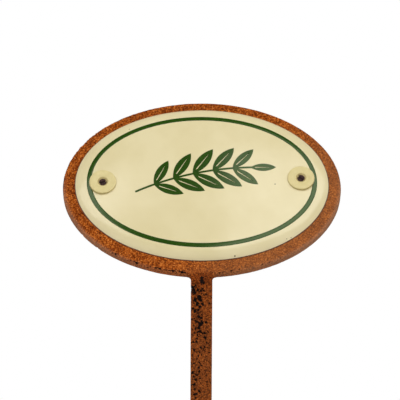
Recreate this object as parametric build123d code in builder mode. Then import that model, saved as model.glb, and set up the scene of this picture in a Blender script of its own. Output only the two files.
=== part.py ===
from build123d import *
from math import cos, radians, sin, sqrt, tan
import os

# Plant label stake: an oval enamel sign on a rusty steel plate, carried by a flat bar that is pushed
# into the soil. Millimetres. The origin is on the bar's axis at the soil line, +Z is up and the sign
# faces -Y, leaning back.

# Enamel sign
sign_length = 100.0
sign_height = 70.0
rim_radius = 8.0  # of the rolled rim, seen in a section
rim_slope = 47.0  # degrees from the sign's plane, where the rim meets the plate
crown_slope = 6.0  # degrees, where the rolled rim runs into the crown
cover_coat_thickness = 0.3
blank_thickness = 0.9
ground_coat_thickness = 0.2
dark_edge_height = 0.25  # of the ground coat that shows round the edge
print_height = 0.12  # of the green enamel above the ivory

# Border line and leaf sprig, in shares of the field inside the border line where a name says so
ring_inset = 4.85
ring_width = 1.85
sprig_left_share = 0.6
sprig_right_share = 0.46
sprig_climb_share = 0.2
sprig_sag_share = 0.09
leaf_length_share = 0.5
leaf_width_share = 0.34  # of the leaf's length
end_leaf_share = 0.72  # of the middle leaf's length
stem_width_share = 0.028
midrib_width_share = 0.014
midrib_span_shares = (0.16, 0.8)
end_leaf_place_share = 0.98  # along the stem
leaf_spread = 42.0  # degrees from the stem
leaf_pairs = 5

# Backing plate
plate_thickness = 3.5
side_margin = 4.7
top_margin = 3.8
bottom_margin = 5.6
plate_front_round = 0.9
plate_back_round = 0.5
lean = 45.0  # degrees back from upright

# Stake
bar_width = 8.5
bar_thickness = 3.5
bar_edge_round = 0.6
bend_radius = 2.0  # inside the bend
height_above_soil = 150.0  # of the straight bar
depth_in_soil = 100.0
point_length = 24.0
tip_width = 1.8

# Weld between the stake and the plate
weld_corner_radius = 1.5
bead_height = 0.8
bead_toe = 1.1  # how far the bead laps over each piece it joins
groove_fill_share = 0.6  # of the plate's rounded edge

# Fixings
hole_inset = 11.2  # from the sign's end
hole_lift = 1.1  # of the right hole above the sign's middle, and of the left hole below it
washer_diameter = 10.6
washer_height = 1.0
washer_round = 0.4
collar_diameter = 4.6
collar_clearance = 0.2
screw_diameter = 2.0
screw_clearance = 0.15
head_diameter = 3.0
head_angle = 90.0
head_depth_below_top = 0.65
slot_width = 0.5
slot_depth = 0.4
screw_tail = 0.9  # past the nut
screw_tip_chamfer = 0.25
lock_washer_diameter = 4.4
lock_washer_thickness = 0.5
lock_washer_split = 0.5
nut_across_flats = 4.0
nut_height = 1.6
nut_corner_height = 0.25
thread_clearance = 0.03
turns = {"left": (24.0, 10.0), "right": (-38.0, 35.0)}  # degrees that each slot and nut are turned

cut_overrun = 5.0

# Frame of the sign: its plane is the plate's front face, x to the right, y up the plate, z out of it
up_plate = Vector(0, sin(radians(lean)), cos(radians(lean)))
out_of_plate = Vector(0, -cos(radians(lean)), sin(radians(lean)))
bend_centre = Vector(0, bend_radius + bar_thickness / 2, height_above_soil)
weld_gap = weld_corner_radius
bar_top = bend_centre + out_of_plate * (bend_radius + bar_thickness)
plate_foot = bar_top + up_plate * weld_gap
sign_centre = plate_foot + up_plate * (bottom_margin + sign_height / 2)
sign_plane = Plane(origin=sign_centre, x_dir=(1, 0, 0), z_dir=out_of_plate)
foot_y = -sign_height / 2 - bottom_margin  # of the plate's lowest point, in the sign's frame
bar_top_y = foot_y - weld_gap

# Section of the sign's dome along its short axis: the rim's arc, then the crown's flatter arc. The dome
# is round about the middle and then stretched along the sign to the oval's length.
edge_angle = radians(rim_slope)
crown_angle = radians(crown_slope)
rim_centre = (sign_height / 2 - rim_radius * sin(edge_angle), -rim_radius * cos(edge_angle))
crown_half_height = rim_centre[0] + rim_radius * sin(crown_angle)
crown_radius = crown_half_height / sin(crown_angle)
crown_centre = (0, rim_centre[1] + (rim_radius - crown_radius) * cos(crown_angle))
sign_rise = crown_centre[1] + crown_radius
stretch = sign_length / sign_height
skirt_slope = 15.0  # degrees of rim made below the plate's face and cut off there
sign_axis = Axis(sign_centre, out_of_plate)
across_plate = Plane(origin=sign_centre, x_dir=up_plate, z_dir=(1, 0, 0))


def oval_dome(depth):
    """The sign's outer shape as a solid, taken in by a depth all over."""
    with BuildPart() as dome:
        with BuildSketch(across_plate):
            with BuildLine():
                rim_end = 90 - rim_slope - skirt_slope
                rim = CenterArc(rim_centre, rim_radius - depth, rim_end, 90 - crown_slope - rim_end)
                crown = CenterArc(crown_centre, crown_radius - depth, 90 - crown_slope, crown_slope)
                Polyline(crown @ 1, (0, (rim @ 0).Y), rim @ 0)
            make_face()
        revolve(axis=sign_axis)
        scale(by=(stretch, 1, 1))
    return dome.part


def dome_height(along):
    """Height of the dome above the plate, at a place along the sign's long axis."""
    from_middle = abs(along) / stretch
    if from_middle < crown_half_height:
        return crown_centre[1] + sqrt(crown_radius**2 - from_middle**2)
    return rim_centre[1] + sqrt(rim_radius**2 - (from_middle - rim_centre[0]) ** 2)


back_depth = cover_coat_thickness + blank_thickness
print_dome = oval_dome(-print_height)
face_dome = oval_dome(0)
steel_dome = oval_dome(cover_coat_thickness)
back_dome = oval_dome(back_depth)
hollow_dome = oval_dome(back_depth + ground_coat_thickness)
edge_plane = sign_plane.offset(dark_edge_height)

# Places of the two fixings
hole_place = sign_length / 2 - hole_inset
hole_places = {"left": (-hole_place, -hole_lift), "right": (hole_place, hole_lift)}
washer_top = dome_height(hole_place) + washer_height
with BuildSketch(sign_plane) as collar_holes:
    with Locations(*hole_places.values()):
        Circle(collar_diameter / 2 + collar_clearance)
with BuildSketch(sign_plane) as screw_holes:
    with Locations(*hole_places.values()):
        Circle(screw_diameter / 2 + screw_clearance)

# Border line: green enamel on the ivory
field_half_length = sign_length / 2 - ring_inset - ring_width
field_half_height = sign_height / 2 - ring_inset - ring_width
with BuildPart() as border_ring:
    add(print_dome)
    add(face_dome, mode=Mode.SUBTRACT)
    with BuildSketch(sign_plane):
        Ellipse(sign_length / 2 - ring_inset, sign_height / 2 - ring_inset)
        Ellipse(field_half_length, field_half_height, mode=Mode.SUBTRACT)
    extrude(amount=sign_rise + cut_overrun, mode=Mode.INTERSECT)
border_ring.part.label = "border_ring"

# Leaf sprig: a stem that climbs to the right, leaves in pairs along it and one at its end
sprig_left = -field_half_length * sprig_left_share
sprig_right = field_half_length * sprig_right_share
sprig_climb = field_half_height * sprig_climb_share
sprig_sag = field_half_height * sprig_sag_share
stem_width = field_half_height * stem_width_share
midrib_width = field_half_height * midrib_width_share
with BuildLine() as stem:
    bow = ((sprig_left + sprig_right) / 2, sprig_sag)
    ThreePointArc((sprig_left, -sprig_climb), bow, (sprig_right, sprig_climb))
leaves = []
for pair in range(1, leaf_pairs + 1):
    along = pair / (leaf_pairs + 1)
    size_share = 1 - (1 - end_leaf_share) * (2 * along - 1) ** 2
    for side in (1, -1):
        leaves.append((along, side * leaf_spread, size_share))
leaves.append((end_leaf_place_share, 0, end_leaf_share))
with BuildSketch() as sprig_outline:
    trace(stem.line, line_width=stem_width)
    for along, spread, size_share in leaves:
        leaf_length = field_half_height * leaf_length_share * size_share
        direction = (stem.line % along).rotate(Axis.Z, spread)
        across = direction.rotate(Axis.Z, 90)
        base = stem.line @ along
        tip = base + direction * leaf_length
        swell = across * (leaf_length * leaf_width_share / 2)
        with BuildLine():
            ThreePointArc(base, base + direction * (leaf_length / 2) + swell, tip)
            ThreePointArc(tip, base + direction * (leaf_length / 2) - swell, base)
        make_face()
    for along, spread, size_share in leaves:
        leaf_length = field_half_height * leaf_length_share * size_share
        direction = (stem.line % along).rotate(Axis.Z, spread)
        half_width = direction.rotate(Axis.Z, 90) * (midrib_width / 2)
        base = stem.line @ along
        first, last = (base + direction * (leaf_length * share) for share in midrib_span_shares)
        with BuildLine():
            Polyline(first + half_width, last, first - half_width, close=True)
        make_face(mode=Mode.SUBTRACT)
with BuildPart() as leaf_sprig:
    add(print_dome)
    add(face_dome, mode=Mode.SUBTRACT)
    with BuildSketch(sign_plane):
        add(sprig_outline.sketch)
    extrude(amount=sign_rise + cut_overrun, mode=Mode.INTERSECT)
leaf_sprig.part.label = "leaf_sprig"

# Cover coat: the ivory enamel on the sign's face
with BuildPart() as cover_coat:
    add(face_dome)
    add(steel_dome, mode=Mode.SUBTRACT)
    split(bisect_by=edge_plane, keep=Keep.TOP)
    extrude(collar_holes.sketch, amount=sign_rise + cut_overrun, mode=Mode.SUBTRACT)
cover_coat.part.label = "cover_coat"

# Sign blank: the pressed steel inside the enamel
with BuildPart() as sign_blank:
    add(steel_dome)
    add(back_dome, mode=Mode.SUBTRACT)
    split(bisect_by=edge_plane, keep=Keep.TOP)
    extrude(collar_holes.sketch, amount=sign_rise + cut_overrun, mode=Mode.SUBTRACT)
sign_blank.part.label = "sign_blank"

# Ground coat: dark enamel over the blank's back, turned round its edge to rest on the plate
with BuildPart() as coats_above_edge:
    add(face_dome)
    add(back_dome, mode=Mode.SUBTRACT)
    split(bisect_by=edge_plane, keep=Keep.TOP)
with BuildPart() as ground_coat:
    add(face_dome)
    add(hollow_dome, mode=Mode.SUBTRACT)
    split(bisect_by=sign_plane, keep=Keep.TOP)
    add(coats_above_edge.part, mode=Mode.SUBTRACT)
    extrude(collar_holes.sketch, amount=sign_rise + cut_overrun, mode=Mode.SUBTRACT)
ground_coat.part.label = "ground_coat"

# Backing plate
plate_half_length = sign_length / 2 + side_margin
plate_half_height = (sign_height + top_margin + bottom_margin) / 2
plate_centre_y = (top_margin - bottom_margin) / 2
with BuildPart() as backing_plate:
    with BuildSketch(sign_plane):
        with Locations((0, plate_centre_y)):
            Ellipse(plate_half_length, plate_half_height)
    extrude(amount=-plate_thickness)
    rims = backing_plate.edges().sort_by(sign_axis)
    fillet(rims[-1], radius=min(plate_front_round, plate_thickness / 2))
    rims = backing_plate.edges().sort_by(sign_axis)
    fillet(rims[0], radius=min(plate_back_round, plate_thickness / 3))
    extrude(screw_holes.sketch, amount=cut_overrun + plate_thickness, both=True, mode=Mode.SUBTRACT)
backing_plate.part.label = "backing_plate"

# Stake: a flat bar with its top bent back into the plate's plane and its foot cut to a point
with BuildPart() as stake:
    with BuildSketch(Plane.YZ):
        with BuildLine():
            front_arc = CenterArc(
                (bend_centre.Y, bend_centre.Z), bend_radius + bar_thickness, 180, -lean
            )
            back_arc = CenterArc((bend_centre.Y, bend_centre.Z), bend_radius, 180, -lean)
            Line(front_arc @ 1, back_arc @ 1)
            Polyline(
                front_arc @ 0,
                (-bar_thickness / 2, -depth_in_soil),
                (bar_thickness / 2, -depth_in_soil),
                back_arc @ 0,
            )
        make_face()
    extrude(amount=bar_width / 2, both=True)
    end_edges = stake.faces().sort_by(Axis.Z)[0].edges()
    end_edges += stake.faces().sort_by(Axis(bar_top, up_plate))[-1].edges()
    sides = stake.faces().sort_by(Axis.X)
    long_edges = sides[0].edges() + sides[-1].edges()
    long_edges = [edge for edge in long_edges if edge not in end_edges]
    fillet(long_edges, radius=min(bar_edge_round, bar_thickness / 3))
    with BuildSketch(Plane.XZ):
        with BuildLine():
            Polyline(
                (tip_width / 2, -depth_in_soil),
                (bar_width / 2, point_length - depth_in_soil),
                (bar_width / 2 + cut_overrun, point_length - depth_in_soil),
                (bar_width / 2 + cut_overrun, -depth_in_soil - cut_overrun),
                (tip_width / 2, -depth_in_soil - cut_overrun),
                close=True,
            )
        make_face()
        mirror(about=Plane.YZ)
    extrude(amount=bar_thickness, both=True, mode=Mode.SUBTRACT)
stake.part.label = "stake"

# Weld seam: fills the gap between bar and plate, with a hollow corner each side and a bead behind
corner_x = bar_width / 2 + weld_corner_radius
with BuildPart() as weld_seam:
    with BuildSketch(sign_plane):
        with BuildLine():
            right = CenterArc((corner_x, bar_top_y), weld_corner_radius, 180, -90)
            left = CenterArc((-corner_x, bar_top_y), weld_corner_radius, 0, 90)
            Line(left @ 0, right @ 0)
            fill_y = foot_y + plate_front_round * groove_fill_share
            Polyline(right @ 1, (corner_x, fill_y), (-corner_x, fill_y), left @ 1)
        make_face()
    extrude(amount=-plate_thickness)
    with BuildSketch(across_plate):
        with Locations((foot_y - weld_gap / 2, -plate_thickness)):
            Ellipse(weld_gap / 2 + bead_toe, bead_height)
    extrude(amount=bar_width / 2, both=True)
    add(backing_plate.part, mode=Mode.SUBTRACT)
    add(stake.part, mode=Mode.SUBTRACT)
weld_seam.part.label = "weld_seam"

# Fixings: one collar washer, screw, lock washer and nut at each end of the sign
back_of_plate = -plate_thickness
nut_seat = back_of_plate - lock_washer_thickness
nut_foot = nut_seat - nut_height
head_top = washer_top - head_depth_below_top
head_cone_slope = tan(radians(head_angle / 2))
head_bottom = head_top - (head_diameter - screw_diameter) / 2 / head_cone_slope
mouth_radius = head_diameter / 2 + head_depth_below_top * head_cone_slope
screw_tip = nut_foot - screw_tail
corner_radius = nut_across_flats / 2 / cos(radians(30))
fixings = []
for side, place in hole_places.items():
    slot_turn, nut_turn = turns[side]
    centre = sign_plane.from_local_coords((*place, 0))
    hole_plane = Plane(origin=centre, x_dir=(1, 0, 0), z_dir=out_of_plate)
    axial_plane = Plane(origin=centre, x_dir=(1, 0, 0), z_dir=-up_plate)
    hole_axis = Axis(centre, out_of_plate)

    with BuildPart() as collar_washer:
        with BuildSketch(hole_plane):
            Circle(washer_diameter / 2)
        extrude(amount=washer_top)
        fillet(collar_washer.edges().sort_by(hole_axis)[-1], radius=washer_round)
        add(face_dome, mode=Mode.SUBTRACT)
        add(border_ring.part, mode=Mode.SUBTRACT)
        with BuildSketch(hole_plane):
            Circle(collar_diameter / 2)
        extrude(amount=washer_top - washer_height / 2)
        with Locations(hole_plane.offset(washer_top)):
            CounterSinkHole(
                screw_diameter / 2 + screw_clearance, mouth_radius, counter_sink_angle=head_angle
            )
    collar_washer.part.label = "collar_washer_" + side

    with BuildPart() as screw:
        with BuildSketch(axial_plane):
            with BuildLine():
                Polyline(
                    (0, screw_tip),
                    (screw_diameter / 2 - screw_tip_chamfer, screw_tip),
                    (screw_diameter / 2, screw_tip + screw_tip_chamfer),
                    (screw_diameter / 2, head_bottom),
                    (head_diameter / 2, head_top),
                    (0, head_top),
                    close=True,
                )
            make_face()
        revolve(axis=hole_axis)
        with BuildSketch(hole_plane.offset(head_top - slot_depth)):
            Rectangle(head_diameter + cut_overrun, slot_width, rotation=slot_turn)
        extrude(amount=slot_depth + cut_overrun, mode=Mode.SUBTRACT)
    screw.part.label = "screw_" + side

    with BuildPart() as lock_washer:
        with BuildSketch(hole_plane.offset(back_of_plate)):
            Circle(lock_washer_diameter / 2)
            Circle(screw_diameter / 2 + screw_clearance, mode=Mode.SUBTRACT)
            with Locations((0, lock_washer_diameter / 2)):
                Rectangle(
                    lock_washer_split, lock_washer_diameter, rotation=nut_turn, mode=Mode.SUBTRACT
                )
        extrude(amount=-lock_washer_thickness)
    lock_washer.part.label = "lock_washer_" + side

    with BuildPart() as nut:
        with BuildSketch(hole_plane.offset(nut_foot)):
            RegularPolygon(nut_across_flats / 2, 6, major_radius=False, rotation=nut_turn)
        extrude(amount=nut_height)
        with BuildSketch(axial_plane):
            with BuildLine():
                Polyline(
                    (0, nut_foot),
                    (nut_across_flats / 2, nut_foot),
                    (corner_radius, nut_foot + nut_corner_height),
                    (corner_radius, nut_seat - nut_corner_height),
                    (nut_across_flats / 2, nut_seat),
                    (0, nut_seat),
                    close=True,
                )
            make_face()
        revolve(axis=hole_axis, mode=Mode.INTERSECT)
        with Locations(hole_plane):
            Hole(screw_diameter / 2 + thread_clearance)
    nut.part.label = "nut_" + side

    fixings += [collar_washer, screw, lock_washer, nut]

os.makedirs("parts", exist_ok=True)
for piece in [
    backing_plate,
    stake,
    weld_seam,
    sign_blank,
    ground_coat,
    cover_coat,
    border_ring,
    leaf_sprig,
    *fixings,
]:
    export_step(piece.part, "parts/" + piece.part.label + ".step")
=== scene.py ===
from math import asin, cos, pi, radians, sin

import bmesh
import bpy
import numpy as np
from mathutils import Matrix, Vector


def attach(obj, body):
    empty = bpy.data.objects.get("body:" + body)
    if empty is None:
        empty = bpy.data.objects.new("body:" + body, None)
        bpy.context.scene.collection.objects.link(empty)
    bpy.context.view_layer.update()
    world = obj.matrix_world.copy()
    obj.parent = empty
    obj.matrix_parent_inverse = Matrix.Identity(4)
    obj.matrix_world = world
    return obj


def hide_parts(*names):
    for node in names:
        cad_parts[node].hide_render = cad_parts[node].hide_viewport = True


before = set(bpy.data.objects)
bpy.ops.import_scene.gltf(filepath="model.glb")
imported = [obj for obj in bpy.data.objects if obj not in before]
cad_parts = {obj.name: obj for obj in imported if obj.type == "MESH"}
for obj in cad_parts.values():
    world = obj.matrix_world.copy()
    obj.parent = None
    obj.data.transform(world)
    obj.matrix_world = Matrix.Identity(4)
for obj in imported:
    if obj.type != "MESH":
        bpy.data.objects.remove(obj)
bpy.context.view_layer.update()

mm = 0.001

# The sign's frame: its plane is the plate's front face, x to the right, y up the plate, height out of it
lean = radians(45)
across = np.array([1.0, 0.0, 0.0])
up_plate = np.array([0.0, sin(lean), cos(lean)])
out_of_plate = np.array([0.0, -cos(lean), sin(lean)])

# Stake and plate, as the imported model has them
bar_width, bar_thickness, bar_round = 8.5, 3.5, 0.6
bar_spacing = 0.3  # between the points round the bar
bend_radius, soil_height, stake_foot, point_length, tip_width = 2.0, 150.0, -100.0, 24.0, 1.8
weld_radius, bead_reach, bead_height = 1.5, 1.85, 0.8
plate_length, plate_height, plate_thickness = 109.4, 79.4, 3.5
plate_drop, front_round, back_round = -0.9, 0.9, 0.5
bend_centre = np.array([0.0, bend_radius + bar_thickness / 2, soil_height])
bar_top = bend_centre + out_of_plate * (bend_radius + bar_thickness)
plate_foot = bar_top + up_plate * weld_radius
sign_centre = plate_foot + up_plate * (plate_height / 2 - plate_drop)
foot_y = plate_drop - plate_height / 2

# Enamel sign
sign_length, sign_height = 100.0, 70.0
stretch = sign_length / sign_height
rim_radius, rim_slope, crown_slope = 8.0, radians(47), radians(6)
rim_centre = (sign_height / 2 - rim_radius * sin(rim_slope), -rim_radius * cos(rim_slope))
crown_reach = rim_centre[0] + rim_radius * sin(crown_slope)
crown_radius = crown_reach / sin(crown_slope)
crown_centre = (0.0, rim_centre[1] + (rim_radius - crown_radius) * cos(crown_slope))
coat, blank, back_coat, dark_edge = 0.3, 0.9, 0.2, 0.25
line_inset, line_width, print_height = 4.85, 1.85, 0.12
leaf_width_share = 0.34  # of a leaf's length
outer_steps, inner_steps, dome_count = 60, 16, 360  # points up the dome's faces and round them

# Fixings
hole_place, hole_lift = sign_length / 2 - 11.2, 1.1
hole_places = {"left": (-hole_place, -hole_lift), "right": (hole_place, hole_lift)}
washer_radius, washer_height, washer_round, collar_radius = 5.3, 1.0, 0.4, 2.3
screw_radius, screw_clearance, head_radius, head_drop = 1.0, 0.15, 1.5, 0.65
drill_radius = collar_radius + 0.2

crease_angle = radians(32)

# Pits: the size of their cells, and how far slow noise, wear and fine noise widen them
pit_cell, pit_seed = 1.25, 1.0
pit_drift, pit_base, pit_wear, pit_raggedness = 1.5, -0.98, 0.92, 1.1
pit_edge = (0.46, 0.64)

# Worn patches on the bar: their middle in x and z, their reach in x and z, and how worn they are
bar_patches = (
    (-1.5, 146.0, 2.4, 5.5, 0.76),
    (-0.6, 136.0, 2.0, 4.0, 0.5),
    (1.7, 132.0, 1.2, 3.0, 0.5),
    (-1.3, 126.5, 2.4, 2.5, 0.4),
    (-1.7, 118.0, 2.2, 4.0, 0.32),
    (-2.0, 109.0, 2.0, 4.0, 0.36),
    (0.8, 153.0, 1.2, 1.5, 0.4),
    (-4.0, 148.0, 0.8, 3.5, 0.6),
)

# Specks on the enamel: x, y and size
specks = (
    (28.6, -1.8, 0.34),
    (11.5, -2.6, 0.2),
    (12.8, -33.0, 0.42),
    (-28.9, 24.4, 0.28),
    (34.6, -24.5, 0.24),
    (32.9, -25.2, 0.22),
)

panel_height = 1.0  # of the lights over the sign, in metres


def on_sign(x, y, height):
    """Points in the sign's frame, given in millimetres, as places in metres."""
    x, y, height = np.broadcast_arrays(x, y, height)
    local = x[..., None] * across + y[..., None] * up_plate + height[..., None] * out_of_plate
    return (sign_centre + local) * mm


def dome_height(x, y):
    """Height of the enamel face above the plate."""
    reach = np.sqrt((np.asarray(x, float) / stretch) ** 2 + np.asarray(y, float) ** 2)
    crown = crown_centre[1] + np.sqrt(crown_radius**2 - np.minimum(reach, crown_reach) ** 2)
    over_rim = np.clip(reach - rim_centre[0], 0, rim_radius)
    rim = rim_centre[1] + np.sqrt(rim_radius**2 - over_rim**2)
    return np.where(reach < crown_reach, crown, rim)


def make_piece(name, corners, faces):
    """A closed mesh with its seams merged, smooth except at creases."""
    mesh = bpy.data.meshes.new(name)
    mesh.from_pydata(np.asarray(corners, float).tolist(), [], faces)
    shell = bmesh.new()
    shell.from_mesh(mesh)
    bmesh.ops.remove_doubles(shell, verts=shell.verts, dist=0.0005 * mm)
    bmesh.ops.recalc_face_normals(shell, faces=shell.faces)
    shell.to_mesh(mesh)
    shell.free()
    mesh.shade_smooth()
    mesh.set_sharp_from_angle(angle=crease_angle)
    piece = bpy.data.objects.new(name, mesh)
    bpy.context.scene.collection.objects.link(piece)
    return piece


def skin(rings, wrap=False):
    """Corners and faces of a closed skin over rings of points. Its ends are filled, or meet."""
    count, around = rings.shape[:2]
    i, j = np.meshgrid(np.arange(count if wrap else count - 1), np.arange(around), indexing="ij")
    after, beside = (i + 1) % count * around, (j + 1) % around
    quads = np.stack([i * around + j, i * around + beside, after + beside, after + j], -1)
    faces = quads.reshape(-1, 4).tolist()
    if not wrap:
        faces += [list(range(around)), list(range((count - 1) * around, count * around))]
    return rings.reshape(-1, 3), faces


def join_shells(*shells):
    """Several closed skins as one."""
    corners, faces, first = [], [], 0
    for shell_corners, shell_faces in shells:
        corners.append(np.asarray(shell_corners))
        faces += [[first + corner for corner in face] for face in shell_faces]
        first += len(shell_corners)
    return np.concatenate(corners), faces


def turned(profile, place=(0.0, 0.0), stretched=1.0, count=96):
    """A closed profile of radius and height, turned about an axis out of the plate."""
    radius, height = np.array(profile, float).T
    angle = np.linspace(0, 2 * pi, count, endpoint=False)[:, None]
    x, y = place[0] + stretched * radius * np.cos(angle), place[1] + radius * np.sin(angle)
    return skin(on_sign(x, y, height), wrap=True)


# Materials


def colour(red, green, blue):
    """A colour as a screen shows it, from 0 to 255, for a socket."""
    return tuple(
        c / 12.92 if c <= 0.04045 else ((c + 0.055) / 1.055) ** 2.4
        for c in (red / 255, green / 255, blue / 255)
    ) + (1.0,)


def add_node(tree, kind, inputs=None, **settings):
    """Adds a node, with each input set to a value or joined to another node's output."""
    made = tree.nodes.new(kind)
    for name, value in settings.items():
        setattr(made, name, value)
    for place, value in (inputs or {}).items():
        if isinstance(value, bpy.types.NodeSocket):
            tree.links.new(value, made.inputs[place])
        else:
            made.inputs[place].default_value = value
    return made


def calc(tree, kind, *values):
    """A sum of one, two or three values."""
    return add_node(tree, "ShaderNodeMath", dict(enumerate(values)), operation=kind).outputs[0]


def new_finish(name):
    """An empty finish: its material, its nodes and its shader."""
    material = bpy.data.materials.new(name)
    material.use_nodes = True
    tree = material.node_tree
    tree.nodes.clear()
    shader = add_node(tree, "ShaderNodeBsdfPrincipled")
    output = add_node(tree, "ShaderNodeOutputMaterial", {"Surface": shader.outputs[0]})
    output.is_active_output = True
    return material, tree, shader


def noise_at(tree, place, size, detail, roughness, seed):
    """Noise at a place, between 0 and 1, whose features are about a size in millimetres."""
    given = {"Vector": place, "W": seed, "Scale": 1 / (size * mm), "Detail": detail}
    given["Roughness"] = roughness
    return add_node(tree, "ShaderNodeTexNoise", given, noise_dimensions="4D").outputs["Fac"]


def noise(tree, size, detail=3.0, roughness=0.5, seed=0.0):
    """The same, over a piece's own coordinates."""
    place = add_node(tree, "ShaderNodeTexCoord").outputs["Object"]
    return noise_at(tree, place, size, detail, roughness, seed)


def attribute(tree, name):
    """A value that a piece's points carry."""
    return add_node(tree, "ShaderNodeAttribute", attribute_name=name).outputs["Fac"]


def ramp(tree, value, *stops):
    """A colour ramp, from pairs of a place and a colour from 0 to 255."""
    made = add_node(tree, "ShaderNodeValToRGB", {"Fac": value})
    while len(made.color_ramp.elements) < len(stops):
        made.color_ramp.elements.new(1.0)
    for element, (place, tint) in zip(made.color_ramp.elements, stops):
        element.position, element.color = place, colour(*tint)
    return made.outputs["Color"]


def span(tree, value, low, high, to_low=0.0, to_high=1.0):
    """A value's span taken smoothly to another."""
    given = {"Value": value, "From Min": low, "From Max": high, "To Min": to_low, "To Max": to_high}
    made = add_node(tree, "ShaderNodeMapRange", given, interpolation_type="SMOOTHSTEP")
    return made.outputs["Result"]


def mix(tree, share, first, second, blend="MIX"):
    """Two colours mixed by a share. A colour is an output, or red, green and blue from 0 to 255."""
    first, second = (colour(*tint) if isinstance(tint, tuple) else tint for tint in (first, second))
    made = add_node(
        tree, "ShaderNodeMix", {0: share, 6: first, 7: second}, data_type="RGBA", blend_type=blend
    )
    return made.outputs[2]


def bump(tree, height, distance, strength):
    """A fine relief of the surface, with its depth in millimetres."""
    given = {"Height": height, "Distance": distance * mm, "Strength": strength}
    return add_node(tree, "ShaderNodeBump", given).outputs["Normal"]


def pitting(tree, place, worn, cell, seed):
    """How pitted a place is, from 0 to 1: ragged pits, more and wider where it is more worn."""
    scale = {"Vector": place, "Scale": cell, "Randomness": 1.0}
    near = add_node(tree, "ShaderNodeTexVoronoi", scale).outputs["Distance"]
    drift = noise_at(tree, place, 1.7, 4.0, 0.7, seed)
    reach = calc(tree, "MULTIPLY_ADD", drift, pit_drift, pit_base)
    reach = calc(tree, "MULTIPLY_ADD", worn, pit_wear, reach)
    over = calc(tree, "SUBTRACT", reach, near)
    ragged = noise_at(tree, place, 0.55, 2.0, 0.6, seed)
    over = calc(tree, "MULTIPLY_ADD", ragged, pit_raggedness, over)
    return span(tree, over, *pit_edge)


def wire(tree, shader, **inputs):
    """Sets a shader's inputs, or joins them to other nodes' outputs."""
    for name, value in inputs.items():
        socket = shader.inputs[name.replace("_", " ")]
        if isinstance(value, bpy.types.NodeSocket):
            tree.links.new(value, socket)
        else:
            socket.default_value = value


def rust():
    """Grainy orange rust with a painted sheen at the lower right and along the plate's lower rim, darker
    down the stake with mottling and painted shade, and dark in its pits.
    """
    material, tree, shader = new_finish("rust")
    place = add_node(tree, "ShaderNodeTexCoord").outputs["Object"]
    axes = add_node(tree, "ShaderNodeSeparateXYZ", {"Vector": place})
    grain = ramp(
        tree,
        noise(tree, 0.6, 4.0, 0.78),
        (0.39, (58, 21, 4)),
        (0.47, (142, 65, 13)),
        (0.54, (184, 91, 23)),
        (0.62, (232, 144, 66)),
    )
    blotch = noise(tree, 5.0, 3.0, 0.6, seed=3.0)
    blotch = ramp(tree, blotch, (0.35, (212, 200, 182)), (0.60, (255, 255, 255)))
    base = mix(tree, 1.0, grain, blotch, "MULTIPLY")
    flecks = noise(tree, 0.55, 2.0, 0.5, seed=15.0)
    base = mix(tree, span(tree, flecks, 0.40, 0.31, 0.0, 0.8), base, (66, 27, 10))
    base = mix(tree, span(tree, flecks, 0.62, 0.71, 0.0, 0.6), base, (230, 148, 84))
    # Painted sheen: lighter, greyer rust towards the plate's lower right, standing in for the right
    # panels' light glancing off it
    across_plate = {0: place, 1: (0.8, -0.424, -0.424)}
    lower_right = add_node(tree, "ShaderNodeVectorMath", across_plate, operation="DOT_PRODUCT")
    painted_sheen = span(tree, lower_right.outputs["Value"], -0.084, -0.048, 0.0, 0.4)
    base = mix(tree, painted_sheen, base, (146, 100, 64))
    # The stake is darker from the neck down, with a mottling of the rust and painted shade for the
    # upright bar's weaker light, and darkest just under the neck, where a band of painted shadow lies
    off_middle = calc(tree, "ABSOLUTE", axes.outputs["X"])
    neck = span(tree, off_middle, 5.2 * mm, 3.4 * mm, 152.8 * mm, 155.4 * mm)
    drop = calc(tree, "SUBTRACT", neck, axes.outputs["Z"])
    mottled_shade = noise(tree, 0.5, 3.0, 0.7, seed=21.0)
    mottled_shade = ramp(tree, mottled_shade, (0.38, (140, 120, 96)), (0.52, (255, 234, 204)))
    low = span(tree, drop, -1.3 * mm, 1.3 * mm)
    base = mix(tree, low, base, mix(tree, 1.0, base, mottled_shade, "MULTIPLY"))
    # Painted shadow: a band of darker rust just under the neck
    under_neck = span(tree, drop, -1.0 * mm, 1.0 * mm), span(tree, drop, 6.0 * mm, 3.0 * mm)
    shaded = calc(tree, "MULTIPLY", *under_neck)
    base = mix(tree, shaded, base, mix(tree, 1.0, base, (214, 208, 200), "MULTIPLY"))
    # Painted sheen: lighter, greyer rust on the plate's rounded lower rim
    base = mix(tree, attribute(tree, "dulled"), base, (172, 132, 104))
    pits = pitting(tree, place, attribute(tree, "worn"), 1 / (pit_cell * mm), pit_seed)
    base = mix(tree, pits, base, (22, 12, 8))
    wire(
        tree,
        shader,
        Base_Color=base,
        Roughness=span(tree, noise(tree, 1.2, 2.0, seed=7.0), 0.3, 0.7, 0.75, 0.95),
        Specular_IOR_Level=0.06,
        Normal=bump(tree, noise(tree, 0.4, 3.0, 0.8, seed=11.0), 0.16, 0.9),
    )
    return material


def ivory_enamel():
    """Glossy ivory enamel with faint clouding and a few dark specks."""
    material, tree, shader = new_finish("ivory_enamel")
    clouds = noise(tree, 14.0, 3.0, 0.5)
    base = ramp(tree, clouds, (0.35, (224, 210, 162)), (0.65, (230, 217, 172)))
    place = add_node(tree, "ShaderNodeTexCoord").outputs["Object"]
    for x, y, size in specks:
        spot = tuple(on_sign(x, y, dome_height(x, y)))
        gap = add_node(tree, "ShaderNodeVectorMath", {0: place, 1: spot}, operation="DISTANCE")
        speck = span(tree, gap.outputs["Value"], size * mm, size * 0.4 * mm)
        base = mix(tree, speck, base, (84, 64, 34))
    wavy = bump(tree, noise(tree, 6.0, 1.0), 0.02, 0.5)
    wire(tree, shader, Base_Color=base, Roughness=0.15, Specular_IOR_Level=0.4, Normal=wavy)
    return material


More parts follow.
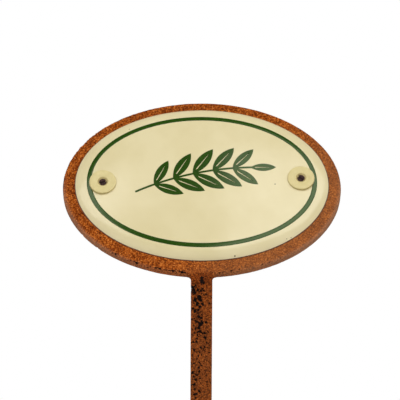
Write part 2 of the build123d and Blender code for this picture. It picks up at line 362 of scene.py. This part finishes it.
def green_enamel():
    """Glossy dark green enamel."""
    material, tree, shader = new_finish("green_enamel")
    base = ramp(tree, noise(tree, 2.5, 3.0, 0.6), (0.30, (26, 62, 0)), (0.70, (40, 75, 2)))
    wire(tree, shader, Base_Color=base, Roughness=0.14, Specular_IOR_Level=0.4)
    wire(tree, shader, Specular_Tint=(0.95, 1.0, 0.74, 1.0))
    return material


def dark_enamel():
    """Dark undercoat, brown with rust where it shows."""
    material, tree, shader = new_finish("dark_enamel")
    base = ramp(tree, noise(tree, 0.8, 3.0, 0.6), (0.35, (70, 36, 17)), (0.65, (116, 64, 32)))
    wire(tree, shader, Base_Color=base, Roughness=0.5)
    return material


def ivory_plastic():
    """Moulded ivory plastic, satin, with painted shade and a little dirt in its hollow and round its
    rim.
    """
    material, tree, shader = new_finish("ivory_plastic")
    base = noise(tree, 3.0, 4.0, 0.6)
    base = ramp(tree, base, (0.35, (213, 196, 135)), (0.65, (222, 206, 145)))
    patchy = span(tree, noise(tree, 0.9, 3.0, 0.6, seed=8.0), 0.3, 0.6, 0.2, 0.75)
    # Painted shade, with a little dirt: darker in the washer's hollow and round its rim
    share = calc(tree, "MULTIPLY", attribute(tree, "grime"), patchy)
    wire(
        tree,
        shader,
        Base_Color=mix(tree, share, base, (158, 134, 80)),
        Roughness=span(tree, noise(tree, 0.6, 2.0, seed=2.0), 0.3, 0.7, 0.4, 0.5),
        Normal=bump(tree, noise(tree, 0.3, 2.0, seed=5.0), 0.01, 0.5),
    )
    return material


def browned_screw():
    """A small steel screw, darkened and a little rusty."""
    material, tree, shader = new_finish("browned_screw")
    stops = (0.35, (28, 18, 17)), (0.55, (60, 40, 37)), (0.72, (112, 80, 72))
    base = ramp(tree, noise(tree, 0.5, 4.0, 0.7), *stops)
    wire(tree, shader, Base_Color=base, Roughness=0.5, Metallic=0.4, Specular_IOR_Level=0.2)
    return material


def plated_steel():
    """Zinc-plated steel, dulled, with spots of rust."""
    material, tree, shader = new_finish("plated_steel")
    stops = (0.40, (188, 190, 192)), (0.58, (160, 158, 154)), (0.68, (128, 84, 48))
    base = ramp(tree, noise(tree, 0.9, 4.0, 0.65), *stops)
    rough = span(tree, noise(tree, 0.7, 3.0, seed=4.0), 0.3, 0.7, 0.3, 0.6)
    wire(tree, shader, Base_Color=base, Roughness=rough, Metallic=0.8)
    return material


def blank_steel():
    """The bare pressed steel under the enamel."""
    material, tree, shader = new_finish("blank_steel")
    stops = (0.35, (120, 118, 114)), (0.65, (150, 148, 144))
    base = ramp(tree, noise(tree, 1.5, 3.0, 0.6), *stops)
    wire(tree, shader, Base_Color=base, Roughness=0.45, Metallic=0.9)
    return material


# Node trees for the pieces


def new_tree(name, sockets):
    """A geometry tree with named inputs, each a name, kind and default."""
    tree = bpy.data.node_groups.new(name, "GeometryNodeTree")
    tree.interface.new_socket("Geometry", in_out="INPUT", socket_type="NodeSocketGeometry")
    tree.interface.new_socket("Geometry", in_out="OUTPUT", socket_type="NodeSocketGeometry")
    for label, kind, default in sockets:
        made = tree.interface.new_socket(label, in_out="INPUT", socket_type="NodeSocket" + kind)
        if default is not None:
            made.default_value = default
    return tree, tree.nodes.new("NodeGroupInput").outputs


def end_tree(tree, geometry, finish):
    """Puts a finish on the geometry and makes it the tree's output."""
    whole = {"Geometry": geometry, "Material": finish}
    whole = add_node(tree, "GeometryNodeSetMaterial", whole).outputs[0]
    out = tree.nodes.new("NodeGroupOutput")
    tree.links.new(whole, out.inputs[0])


def run_tree(piece, tree, values):
    """Puts a piece through a tree and keeps the result as its plain mesh."""
    step = piece.modifiers.new(tree.name, "NODES")
    step.node_group = tree
    for item in tree.interface.items_tree:
        if item.item_type == "SOCKET" and item.in_out == "INPUT" and item.name in values:
            step[item.identifier] = values[item.name]
    depsgraph = bpy.context.evaluated_depsgraph_get()
    made = bpy.data.meshes.new_from_object(
        piece.evaluated_get(depsgraph), preserve_all_data_layers=True, depsgraph=depsgraph
    )
    piece.modifiers.remove(step)
    piece.data = made
    made.name = piece.name
    return piece


def corrosion_tree():
    """Eats a surface away: fine grain and broad hollows all over, and pits where it is worn."""
    tree, given = new_tree(
        "corrosion",
        [
            ("Grain size", "Float", 0.9 * mm),
            ("Grain depth", "Float", 0.1 * mm),
            ("Hollow size", "Float", 7.0 * mm),
            ("Hollow depth", "Float", 0.12 * mm),
            ("Pit size", "Float", pit_cell * mm),
            ("Pit depth", "Float", 0.22 * mm),
            ("Seed", "Float", pit_seed),
            ("Finish", "Material", None),
        ],
    )

    def field(size, detail):
        """Noise over the whole surface, of a size among the tree's inputs."""
        scale = calc(tree, "DIVIDE", 1.0, given[size])
        inputs = {"W": given["Seed"], "Scale": scale, "Detail": detail, "Roughness": 0.6}
        return add_node(tree, "ShaderNodeTexNoise", inputs, noise_dimensions="4D").outputs["Fac"]

    worn = add_node(tree, "GeometryNodeInputNamedAttribute", {"Name": "worn"}).outputs[0]
    place = add_node(tree, "GeometryNodeInputPosition").outputs[0]
    cell = calc(tree, "DIVIDE", 1.0, given["Pit size"])
    depth = calc(tree, "MULTIPLY", field("Grain size", 3.0), given["Grain depth"])
    hollows = calc(tree, "MULTIPLY", field("Hollow size", 2.0), given["Hollow depth"])
    pits = pitting(tree, place, worn, cell, given["Seed"])
    for part in (hollows, calc(tree, "MULTIPLY", pits, given["Pit depth"])):
        depth = calc(tree, "ADD", depth, part)
    inwards = calc(tree, "MULTIPLY", depth, -1.0)
    normal = add_node(tree, "GeometryNodeInputNormal").outputs[0]
    shift = add_node(tree, "ShaderNodeVectorMath", {0: normal, "Scale": inwards}, operation="SCALE")
    eaten = {"Geometry": given["Geometry"], "Offset": shift.outputs[0]}
    eaten = add_node(tree, "GeometryNodeSetPosition", eaten)
    whole = add_node(tree, "GeometryNodeRealizeInstances", {"Geometry": eaten.outputs[0]})
    end_tree(tree, whole.outputs[0], given["Finish"])
    return tree


def mark_points(mesh, name, values):
    """Gives each point a value, for a finish or a tree to read by its name."""
    made = mesh.attributes.new(name, "FLOAT", "POINT")
    made.data.foreach_set("value", values.astype(np.float32))


def sign_places(mesh):
    """Where the points of a mesh are in the sign's frame, in millimetres, and their height z."""
    places = np.zeros(len(mesh.vertices) * 3)
    mesh.vertices.foreach_get("co", places)
    places = places.reshape(-1, 3) / mm
    local = places - sign_centre
    return local @ across, local @ up_plate, local @ out_of_plate, places[:, 2]


def mark_plate(piece):
    """The plate is worn along its lower left edge and a little at its upper left and on its back, and
    has a painted sheen along its lower rim.
    """
    x, y, height, _ = sign_places(piece.data)
    rim = np.hypot(x / (plate_length / 2), (y - plate_drop) / (plate_height / 2))
    from_edge = (1 - rim) * plate_height / 2
    on_front = height > -1.2
    lower = 0.84 * np.exp(-(((x + 8) / 32) ** 2)) * (y < 0) * np.clip(np.abs(x) / 2 - 2.5, 0, 1)
    worn = 0.12 + lower * np.exp(-(((from_edge - 0.5) / 0.6) ** 2)) * on_front
    upper_left = (y > 0) * np.clip((-x - 4) / 6, 0, 1)
    worn += 0.8 * upper_left * np.exp(-((from_edge / 0.4) ** 2)) * on_front
    worn += 0.3 * (height < -3.0)
    # Painted sheen along the plate's rounded lower edge, stronger towards its ends
    dulled = 0.1 + 0.37 * np.clip(np.abs(x) / 40, 0, 1) ** 2
    dulled *= np.clip((6 - y) / 12, 0, 1) * np.exp(-((from_edge / 0.8) ** 2))
    mark_points(piece.data, "dulled", dulled)
    mark_points(piece.data, "worn", np.clip(worn, 0, 1))


def mark_bar(piece):
    """The bar is worn all over, more in its patches and in the soil, and less up in the weld."""
    x, _, _, z = sign_places(piece.data)
    worn = np.full(len(x), 0.43)
    for place_x, place_z, reach_x, reach_z, amount in bar_patches:
        close = ((x - place_x) / reach_x) ** 2 + ((z - place_z) / reach_z) ** 2
        worn += amount * np.exp(-close)
    worn += 0.2 * np.clip(-z / 40, 0, 1)
    worn *= np.clip((159 - z) / 5, 0.2, 1)
    mark_points(piece.data, "worn", np.clip(worn, 0, 1))


# Pieces


def oval_ring(inset, height, count):
    """The plate's outline, set in by a distance."""
    angle = (np.arange(count) / count * 2 - 0.25) * pi
    length, width = plate_length / 2, plate_height / 2
    out_x, out_y = np.cos(angle) / length, np.sin(angle) / width
    size = np.hypot(out_x, out_y)
    x = length * np.cos(angle) - inset * out_x / size
    y = plate_drop + width * np.sin(angle) - inset * out_y / size
    return on_sign(x, y, height)


def backing_plate(quarter=180):
    """The oval plate: rings over its front, edge and back, and a net of squares inside the back."""
    rows = [(inset, 0.0) for inset in np.linspace(9.0, front_round + 0.4, 17)]
    for turn in np.linspace(0, pi / 2, 6):
        rows.append((front_round * (1 - sin(turn)), front_round * (cos(turn) - 1)))
    for height in np.linspace(-front_round, back_round - plate_thickness, 6)[1:-1]:
        rows.append((0.0, height))
    for turn in np.linspace(0, pi / 2, 4):
        rows.append((back_round * (1 - cos(turn)), back_round * (1 - sin(turn)) - plate_thickness))
    rows += [(inset, -plate_thickness) for inset in np.linspace(back_round + 0.45, 3.0, 6)]
    around = 4 * quarter
    rings = np.stack([oval_ring(inset, height, around) for inset, height in rows])
    corners, faces = skin(rings)
    faces = faces[:-1]
    # The net runs from the back's middle out to its last ring, a quarter of the ring to each side
    across_net = np.linspace(-1, 1, quarter + 1)
    a, b = np.meshgrid(across_net, across_net, indexing="ij")
    wide = np.abs(a) >= np.abs(b)
    with np.errstate(divide="ignore", invalid="ignore"):
        turn = np.where(wide, np.where(a == 0, 0, b / a) * pi / 4, pi / 2 - a / b * pi / 4)
    reach = np.where(wide, a, b)
    middle = on_sign(0.0, plate_drop, -plate_thickness)
    steps = ((turn / pi + 0.25) / 2 + (reach < 0) * 0.5) * around
    whole_steps = np.floor(steps + 1e-6)
    before = whole_steps.astype(int) % around
    share = (steps - whole_steps)[..., None]
    last = rings[-1]
    rim = last[before] * (1 - share) + last[(before + 1) % around] * share
    net = middle + (rim - middle) * np.abs(reach)[..., None]
    first = len(corners)
    side = quarter + 1
    i, j = np.meshgrid(np.arange(quarter), np.arange(quarter), indexing="ij")
    at = first + i * side + j
    faces += np.stack([at, at + side, at + side + 1, at + 1], -1).reshape(-1, 4).tolist()
    return make_piece("rusty_plate", np.concatenate([corners, net.reshape(-1, 3)]), faces)


def bar_section(centre, front, half_width, sunk=0.0):
    """The bar's rounded section, round a centre, with its front facing a direction."""
    half_depth = bar_thickness / 2 - sunk
    points = []
    for side_x, side_y, quarter_turn in ((1, 1, 0), (-1, 1, 1), (-1, -1, 2), (1, -1, 3)):
        corner_x, corner_y = side_x * (half_width - bar_round), side_y * (half_depth - bar_round)
        for turn in np.linspace(0, pi / 2, 4):
            angle = turn + quarter_turn * pi / 2
            points.append((corner_x + bar_round * cos(angle), corner_y + bar_round * sin(angle)))
        wide = quarter_turn % 2 == 0
        length = 2 * ((half_width if wide else half_depth) - bar_round)
        count = round(((bar_width if wide else bar_thickness) - 2 * bar_round) / bar_spacing)
        x, y = points[-1]
        for step in range(1, count):
            go = length * step / count
            points.append((x - side_x * go, y) if wide else (x, y - side_y * go))
    x, y = np.array(points).T
    return (np.asarray(centre) + x[:, None] * across + y[:, None] * np.asarray(front)) * mm


def bend_section(turn, past=0.0, sunk=0.0):
    """The bar's section in its bend, where it has turned by an angle, or a way past that."""
    front = np.array([0, -cos(turn), sin(turn)])
    centre = bend_centre + front * (bend_radius + bar_thickness / 2) + up_plate * past
    return bar_section(centre, front, bar_width / 2 - sunk, sunk=sunk)


def stake():
    """The flat bar: a cut point, the long shank and the bend into the plate's plane."""
    # Closer rings up where its worn patches are
    low, high = np.linspace(stake_foot, 85, 430), np.linspace(85, soil_height, 240)
    sections = []
    for z in np.concatenate([low, high[1:]]):
        taper = min((z - stake_foot) / point_length, 1.0)
        half_width = (tip_width + (bar_width - tip_width) * taper) / 2
        sections.append(bar_section((0, 0, z), (0, -1, 0), half_width))
    sections += [bend_section(turn) for turn in np.linspace(0, lean, 9)[1:]]
    sections += [bend_section(lean, past, sunk) for past, sunk in ((0.5, 0.04), (0.9, 0.1))]
    return make_piece("rusty_stake", *skin(np.stack(sections)))


def weld_seam():
    """The weld: hollow corners that widen from the bar into the plate, and a rippled bead behind."""
    middle = -bar_thickness / 2
    foot = foot_y - weld_radius
    sections = [bend_section(lean - radians(6), sunk=0.1), bend_section(lean - radians(3), sunk=0.04)]
    # Up the plate: the place, how much wider than the bar, and how far inside its faces
    rows = [
        (foot + (weld_radius + 0.25) * sin(turn), weld_radius * (1 - cos(turn)), 0.0)
        for turn in np.linspace(0, pi / 2, 12)
    ]
    rows += [(foot_y + 0.6, 1.3, 0.0), (foot_y + 0.95, 0.9, 0.01)]
    rows += [(foot_y + 1.4, 0.3, 0.08), (foot_y + 2.2, -0.6, 0.25)]
    for y, wider, sunk in rows:
        centre = sign_centre + up_plate * y + out_of_plate * middle
        sections.append(bar_section(centre, out_of_plate, bar_width / 2 + wider, sunk=sunk))
    angle = np.linspace(0, 2 * pi, 24, endpoint=False)
    along = np.linspace(-1, 1, 61)[:, None]
    taper = np.sqrt(1 - (0.98 * along) ** 4)
    ripple = 1 - 0.07 * (0.5 + 0.5 * np.cos(along * pi * 9 + 0.9 * np.sin(angle)))
    bead = on_sign(
        along * (bar_width / 2 - 0.1),
        foot_y - weld_radius / 2 + bead_reach * taper * ripple * np.cos(angle),
        -plate_thickness + bead_height * taper * ripple * np.sin(angle),
    )
    return make_piece("rusty_weld", *join_shells(skin(np.stack(sections)), skin(bead)))


def dome_section(depth, lowest, steps):
    """The dome's section from a height on its rim up to its middle, taken in by a depth."""
    low = asin((lowest - rim_centre[1]) / (rim_radius - depth))
    high = pi / 2 - crown_slope
    rim = np.linspace(low, high, steps // 2)[:-1]
    crown = np.linspace(high, pi / 2, steps)
    points = []
    for centre, radius, angles in ((rim_centre, rim_radius, rim), (crown_centre, crown_radius, crown)):
        inner = radius - depth
        points += [(centre[0] + inner * cos(t), centre[1] + inner * sin(t)) for t in angles]
    points[-1] = (0.0, points[-1][1])
    return points


def drilled(piece):
    """A piece with the two holes for the fixings cut through it."""
    angle = np.linspace(0, 2 * pi, 64, endpoint=False)
    beside, over = drill_radius * np.cos(angle), drill_radius * np.sin(angle)
    ends = np.array([-1.0, 12.0])[:, None]
    pins = [skin(on_sign(x + beside, y + over, ends)) for x, y in hole_places.values()]
    pin = make_piece("pins", *join_shells(*pins))
    step = piece.modifiers.new("holes", "BOOLEAN")
    step.operation, step.solver, step.object = "DIFFERENCE", "EXACT", pin
    depsgraph = bpy.context.evaluated_depsgraph_get()
    made = bpy.data.meshes.new_from_object(piece.evaluated_get(depsgraph), depsgraph=depsgraph)
    piece.modifiers.remove(step)
    bpy.data.objects.remove(pin)
    made.shade_smooth()
    made.set_sharp_from_angle(angle=crease_angle)
    piece.data = made
    made.name = piece.name
    return piece


def enamel_face():
    """The ivory coat over the dome."""
    profile = dome_section(0.0, dark_edge, outer_steps)
    profile += dome_section(coat, dark_edge, inner_steps)[::-1]
    face = make_piece("enamel_face", *turned(profile, stretched=stretch, count=dome_count))
    return drilled(face)


def dark_undercoat():
    """The dark first coat: under the blank, and up round its edge."""
    deep = coat + blank
    profile = [point for point in dome_section(0.0, 0.0, outer_steps) if point[1] < dark_edge]
    profile += dome_section(0.0, dark_edge, inner_steps)[:1]
    profile += dome_section(deep, dark_edge, inner_steps)
    profile += dome_section(deep + back_coat, 0.0, inner_steps)[::-1]
    under = make_piece("dark_undercoat", *turned(profile, stretched=stretch, count=dome_count))
    return drilled(under)


def border_line(count=480):
    """The green line, a low rounded band that lies on the dome."""
    angle = np.linspace(0, 2 * pi, count, endpoint=False)[:, None]
    across_line = np.array([0.0, 0.0, 0.06, 0.16, 0.5, 0.84, 0.94, 1.0, 1.0])
    proud = np.array([-0.06, 0.0, 0.7, 1.0, 1.0, 1.0, 0.7, 0.0, -0.06])
    proud = np.where(proud > 0, proud * print_height, proud)
    inset = line_inset + line_width * across_line
    x = (sign_length / 2 - inset) * np.cos(angle)
    y = (sign_height / 2 - inset) * np.sin(angle)
    return make_piece("border_line", *skin(on_sign(x, y, dome_height(x, y) + proud), wrap=True))


def leaf_blade():
    """One leaf, one long, lying flat from the origin along x, split along its midrib."""
    share = np.linspace(0, 1, 15)
    edge_x = np.concatenate([share, share[-2:0:-1]])
    side = np.concatenate([np.ones(15), -np.ones(13)])
    bow = leaf_width_share / 2
    radius = (0.25 + bow**2) / (2 * bow)
    edge_y = side * (np.sqrt(radius**2 - (edge_x - 0.5) ** 2) - (radius - bow))
    slit_x = 0.16 + 0.64 * edge_x
    slit_y = side * 0.014 * (1 - edge_x) ** 0.7
    rings = []
    # From the outer edge to the slit, and up to the leaf's full height between them
    for inwards, height in ((0, -0.5), (0, 0.2), (0.06, 1.0), (0.9, 1.0), (1, 0.2), (1, -0.5)):
        x = edge_x * (1 - inwards) + slit_x * inwards
        y = edge_y * (1 - inwards) + slit_y * inwards
        rings.append(np.stack([x, y, np.full(len(x), height)], -1))
    return make_piece("leaf_blade", *skin(np.stack(rings, 1), wrap=True))


def leaf_tree():
    """Sets leaves in pairs along a bowed stem, with one at its end, and lays the sprig on the dome."""
    tree, given = new_tree(
        "leaf_sprig",
        [
            ("Leaf", "Object", None),
            ("Left", "Float", -26.0 * mm),
            ("Right", "Float", 19.9 * mm),
            ("Climb", "Float", 5.7 * mm),
            ("Sag", "Float", 2.5 * mm),
            ("Stem width", "Float", 0.8 * mm),
            ("Leaf length", "Float", 14.15 * mm),
            ("End leaf share", "Float", 0.72),
            ("End leaf overlap", "Float", 0.95 * mm),
            ("Spread", "Float", radians(42)),
            ("Pairs", "Int", 5),
            ("Print height", "Float", print_height * mm),
            ("Finish", "Material", None),
        ],
    )

    def add(kind, inputs=None, **settings):
        return add_node(tree, kind, inputs, **settings).outputs[0]

    def sums(kind, *values):
        return calc(tree, kind, *values)

    def point(x=0.0, y=0.0, z=0.0):
        return add("ShaderNodeCombineXYZ", {"X": x, "Y": y, "Z": z})

    def moved(geometry, offset, **only):
        return add("GeometryNodeSetPosition", {"Geometry": geometry, "Offset": offset, **only})

    # The stem, a flat ribbon along an arc
    ends = {
        "Start": point(given["Left"], sums("MULTIPLY", given["Climb"], -1.0)),
        "Middle": point(sums("MULTIPLY", sums("ADD", given["Left"], given["Right"]), 0.5), given["Sag"]),
        "End": point(given["Right"], given["Climb"]),
    }
    stem = add("GeometryNodeCurveArc", {"Resolution": 64, **ends}, mode="POINTS")
    thick = sums("MULTIPLY", given["Print height"], 1.5)
    ribbon = {"Width": given["Stem width"], "Height": thick}
    ribbon = add("GeometryNodeCurvePrimitiveQuadrilateral", ribbon)
    stalk = {"Curve": stem, "Profile Curve": ribbon, "Fill Caps": True}
    stalk = add("GeometryNodeCurveToMesh", stalk)
    stalk = moved(stalk, point(z=sums("MULTIPLY", given["Print height"], 0.2)))
    stalk = add("GeometryNodeSetShadeSmooth", {"Geometry": stalk, "Shade Smooth": False})

    # Places along it: none at the foot, pairs on the way, and one leaf at the end, a little back
    places = {"Curve": stem, "Count": sums("ADD", given["Pairs"], 2.0)}
    places = add_node(tree, "GeometryNodeCurveToPoints", places, mode="COUNT")
    tangent = places.outputs["Tangent"]
    number = add("GeometryNodeInputIndex")
    past_pairs = sums("ADD", given["Pairs"], 0.5)
    last = sums("GREATER_THAN", number, past_pairs)
    paired = {0: sums("GREATER_THAN", number, 0.5), 1: sums("LESS_THAN", number, past_pairs)}
    paired = add("FunctionNodeBooleanMath", paired, operation="AND")
    overlap = sums("MULTIPLY", given["End leaf overlap"], -1.0)
    back = add("ShaderNodeVectorMath", {0: tangent, "Scale": overlap}, operation="SCALE")
    points = moved(places.outputs["Points"], back, Selection=last)

    # Leaves grow shorter towards both ends of the stem
    along = sums("DIVIDE", number, sums("ADD", given["Pairs"], 1.0))
    from_middle = sums("SUBTRACT", sums("MULTIPLY", along, 2.0), 1.0)
    loss = sums("MULTIPLY", from_middle, from_middle)
    loss = sums("MULTIPLY", loss, sums("SUBTRACT", 1.0, given["End leaf share"]))
    size = sums("MULTIPLY", given["Leaf length"], sums("SUBTRACT", 1.0, loss))
    blade = add_node(tree, "GeometryNodeObjectInfo", {"Object": given["Leaf"]}).outputs["Geometry"]
    facing = add("FunctionNodeAlignRotationToVector", {"Vector": tangent}, axis="X")
    joined = add_node(tree, "GeometryNodeJoinGeometry")
    tree.links.new(stalk, joined.inputs[0])
    for side, chosen in ((1.0, paired), (-1.0, paired), (0.0, last)):
        turn = {"Axis": (0, 0, 1), "Angle": sums("MULTIPLY", given["Spread"], side)}
        turn = add("FunctionNodeAxisAngleToRotation", turn)
        turn = {"Rotation": facing, "Rotate By": turn}
        turn = add("FunctionNodeRotateRotation", turn, rotation_space="LOCAL")
        leaves = {"Points": points, "Selection": chosen, "Instance": blade, "Rotation": turn}
        leaves["Scale"] = point(size, size, given["Print height"])
        tree.links.new(add("GeometryNodeInstanceOnPoints", leaves), joined.inputs[0])
    whole = add("GeometryNodeRealizeInstances", {"Geometry": joined.outputs[0]})

    # Raised onto the crown
    axes = {"Vector": add("GeometryNodeInputPosition")}
    axes = add_node(tree, "ShaderNodeSeparateXYZ", axes).outputs
    narrow = sums("DIVIDE", axes["X"], stretch)
    square = sums("MULTIPLY", axes["Y"], axes["Y"])
    square = sums("ADD", sums("MULTIPLY", narrow, narrow), square)
    rise = sums("SQRT", sums("SUBTRACT", (crown_radius * mm) ** 2, square))
    laid = moved(whole, point(z=sums("ADD", rise, crown_centre[1] * mm)))
    end_tree(tree, laid, given["Finish"])
    return tree


def leaf_sprig(finish):
    """The sprig, grown flat and then set on the leaning sign."""
    blade = leaf_blade()
    sprig = bpy.data.objects.new("leaf_motif", bpy.data.meshes.new("leaf_motif"))
    bpy.context.scene.collection.objects.link(sprig)
    run_tree(sprig, leaf_tree(), {"Leaf": blade, "Finish": finish})
    bpy.data.objects.remove(blade)
    turn = Matrix([across, up_plate, out_of_plate]).transposed().to_4x4()
    sprig.data.transform(Matrix.Translation(Vector(sign_centre * mm)) @ turn)
    sprig.data.update()
    return sprig


def collar_washer(side, place):
    """A thin moulded washer on the dome, hollow for the screw's head, with painted shade and a little
    dirt marked in its hollow and round its rim.
    """
    seat = float(dome_height(*place))
    top = seat + washer_height
    mouth = head_radius + head_drop
    bore = screw_radius + screw_clearance
    # Up the collar, out under the rim, round it, over the top's fine groove and down the hollow
    profile = [(collar_radius, 0.0), (collar_radius, seat - 0.3), (washer_radius - 0.05, seat - 1.2)]
    profile += [(washer_radius, seat - 1.15), (washer_radius, seat - 0.5)]
    profile += [
        (washer_radius - washer_round * (1 - cos(turn)), top - washer_round * (1 - sin(turn)))
        for turn in np.linspace(0, pi / 2, 8)
    ]
    profile += [(mouth + 0.75, top - 0.02), (mouth + 0.6, top - 0.08), (mouth + 0.45, top - 0.02)]
    profile += [(mouth + 0.12, top), (mouth, top - 0.05), (mouth - 0.3, top - 0.32)]
    profile += [(bore, top - (mouth - bore)), (bore, 0.0)]
    piece = make_piece("ivory_washer_" + side, *turned(profile, place, count=128))
    x, y, _, _ = sign_places(piece.data)
    radius = np.hypot(x - place[0], y - place[1])
    # Painted shade and dirt: full in the hollow, and a painted contact shadow round the rim where it
    # meets the enamel
    in_hollow, on_rim = radius < mouth - 0.01, radius > washer_radius - 0.02
    mark_points(piece.data, "grime", np.where(in_hollow, 1.0, np.where(on_rim, 0.6, 0.0)))
    return piece


def dress(piece, slot, finish, *nodes):
    """Gives a piece its finish and its node's place in the frame."""
    piece.data.materials.clear()
    piece.data.materials.append(finish)
    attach(piece, "root")
    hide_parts(*nodes)


def refinish(node, finish):
    """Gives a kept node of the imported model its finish."""
    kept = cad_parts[node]
    kept.data.materials.clear()
    kept.data.materials.append(finish)


# Camera, as the photograph was taken: from below the face's normal
camera_distance = 1.0
sensor_width, focal_length = 36.0, 229.2
camera_elevation, camera_azimuth, camera_roll = radians(12.92), radians(-0.15), radians(0.28)
look_at_shift = (-0.72 * mm, -6.12 * mm)


def set_camera():
    """Looks at the sign's middle, shifted to where the photograph has it."""
    data = bpy.data.cameras.new("camera")
    data.sensor_width, data.lens = sensor_width, focal_length
    camera = bpy.data.objects.new("camera", data)
    bpy.context.scene.collection.objects.link(camera)
    level = cos(camera_elevation)
    back = Vector((sin(camera_azimuth) * level, -cos(camera_azimuth) * level, sin(camera_elevation)))
    centre = Vector(sign_centre * mm)
    camera.location = centre + back * camera_distance
    turn = (-back).to_track_quat("-Z", "Y")
    right, up = turn @ Vector((1, 0, 0)), turn @ Vector((0, 1, 0))
    aim = centre + right * look_at_shift[0] + up * look_at_shift[1]
    turn = (aim - camera.location).to_track_quat("-Z", "Y")
    roll = Matrix.Rotation(camera_roll, 4, "Z").to_quaternion()
    camera.rotation_mode = "QUATERNION"
    camera.rotation_quaternion = turn @ roll
    data.clip_start, data.clip_end = 0.05, 50.0
    bpy.context.scene.camera = camera


def softbox(name, x_span, y_span, brightness):
    """A light panel that hangs level over the sign and faces down."""
    data = bpy.data.lights.new(name, "AREA")
    data.shape = "RECTANGLE"
    data.size, data.size_y = x_span[1] - x_span[0], y_span[1] - y_span[0]
    data.energy = brightness * pi * data.size * data.size_y
    panel = bpy.data.objects.new(name, data)
    middle = Vector((sum(x_span) / 2, sum(y_span) / 2, panel_height))
    panel.location = Vector(sign_centre * mm) + middle
    bpy.context.scene.collection.objects.link(panel)


def floor_mesh():
    """A round floor that rises at its rim."""
    level = stake_foot * mm - 0.0005
    rows = [(0.5, 0.0), (2.5, 0.0), (4.0, 0.0), (4.5, 0.15), (4.7, 0.6), (4.75, 2.0)]
    count = 64
    angle = np.linspace(0, 2 * pi, count, endpoint=False)
    corners, faces = [(0.0, 0.0, level)], []
    for radius, rise in rows:
        corners += [(radius * cos(t), radius * sin(t), level + rise) for t in angle]
    for step in range(count):
        after = (step + 1) % count
        faces.append([0, 1 + step, 1 + after])
        for row in range(len(rows) - 1):
            low, high = 1 + row * count, 1 + (row + 1) * count
            faces.append([low + step, high + step, high + after, low + after])
    mesh = bpy.data.meshes.new("floor")
    mesh.from_pydata(corners, [], faces)
    mesh.shade_smooth()
    return mesh


def set_floor():
    """A white floor, which the camera sees as plain white but for a shadow near the stake."""
    mesh = floor_mesh()
    floor = bpy.data.objects.new("floor", mesh)
    bpy.context.scene.collection.objects.link(floor)
    material = bpy.data.materials.new("floor")
    material.use_nodes = True
    tree = material.node_tree
    tree.nodes.clear()
    matt = add_node(tree, "ShaderNodeBsdfDiffuse", {"Color": (0.85, 0.85, 0.85, 1)})
    glow = add_node(tree, "ShaderNodeEmission", {"Color": (1, 1, 1, 1), "Strength": 1.0})
    seen = add_node(tree, "ShaderNodeLightPath").outputs
    rays = calc(tree, "MAXIMUM", seen["Is Camera Ray"], seen["Is Glossy Ray"])
    rays = calc(tree, "MAXIMUM", rays, seen["Is Transmission Ray"])
    place = add_node(tree, "ShaderNodeTexCoord").outputs["Object"]
    reach = add_node(tree, "ShaderNodeVectorMath", {0: place}, operation="LENGTH")
    far = span(tree, reach.outputs["Value"], 0.12, 0.5, 0.5, 1.0)
    both = {0: calc(tree, "MULTIPLY", rays, far), 1: matt.outputs[0], 2: glow.outputs[0]}
    both = add_node(tree, "ShaderNodeMixShader", both)
    add_node(tree, "ShaderNodeOutputMaterial", {"Surface": both.outputs[0]})
    mesh.materials.append(material)


def set_lights():
    """Panels on both sides in front, and a white room that is brighter from low down."""
    softbox("right_panel", (0.048, 1.05), (-1.1, -0.106), 3.0)
    softbox("far_right_panel", (0.3, 1.05), (-0.106, 0.12), 2.2)
    softbox("left_panel", (-0.45, -0.13), (-0.385, -0.205), 3.3)
    softbox("far_left_panel", (-1.3, -0.35), (-0.95, -0.15), 2.85)
    world = bpy.data.worlds.new("room")
    bpy.context.scene.world = world
    world.use_nodes = True
    tree = world.node_tree
    background = tree.nodes["Background"]
    background.inputs["Color"].default_value = (1, 1, 1, 1)
    facing = add_node(tree, "ShaderNodeTexCoord").outputs["Generated"]
    height = add_node(tree, "ShaderNodeSeparateXYZ", {"Vector": facing}).outputs["Z"]
    tree.links.new(span(tree, height, 0.3, 0.8, 0.75, 0.18), background.inputs["Strength"])
    bpy.context.scene.view_settings.view_transform = "Standard"


set_camera()
set_floor()
set_lights()

rusty = rust()
corrosion = corrosion_tree()
for piece, mark, node in (
    (backing_plate(), mark_plate, "backing_plate"),
    (stake(), mark_bar, "stake"),
    (weld_seam(), mark_bar, "weld_seam"),
):
    mark(piece)
    run_tree(piece, corrosion, {"Finish": rusty})
    dress(piece, "rusty_steel", rusty, node)

green = green_enamel()
plastic, browned, plated = ivory_plastic(), browned_screw(), plated_steel()
dress(enamel_face(), "ivory_enamel", ivory_enamel(), "cover_coat")
dress(dark_undercoat(), "dark_enamel", dark_enamel(), "ground_coat")
dress(border_line(), "green_enamel", green, "border_ring")
dress(leaf_sprig(green), "green_enamel", green, "leaf_sprig")
for side, place in hole_places.items():
    dress(collar_washer(side, place), "ivory_plastic", plastic, "collar_washer_" + side)
    refinish("screw_" + side, browned)
    refinish("lock_washer_" + side, plated)
    refinish("nut_" + side, plated)
refinish("sign_blank", blank_steel())
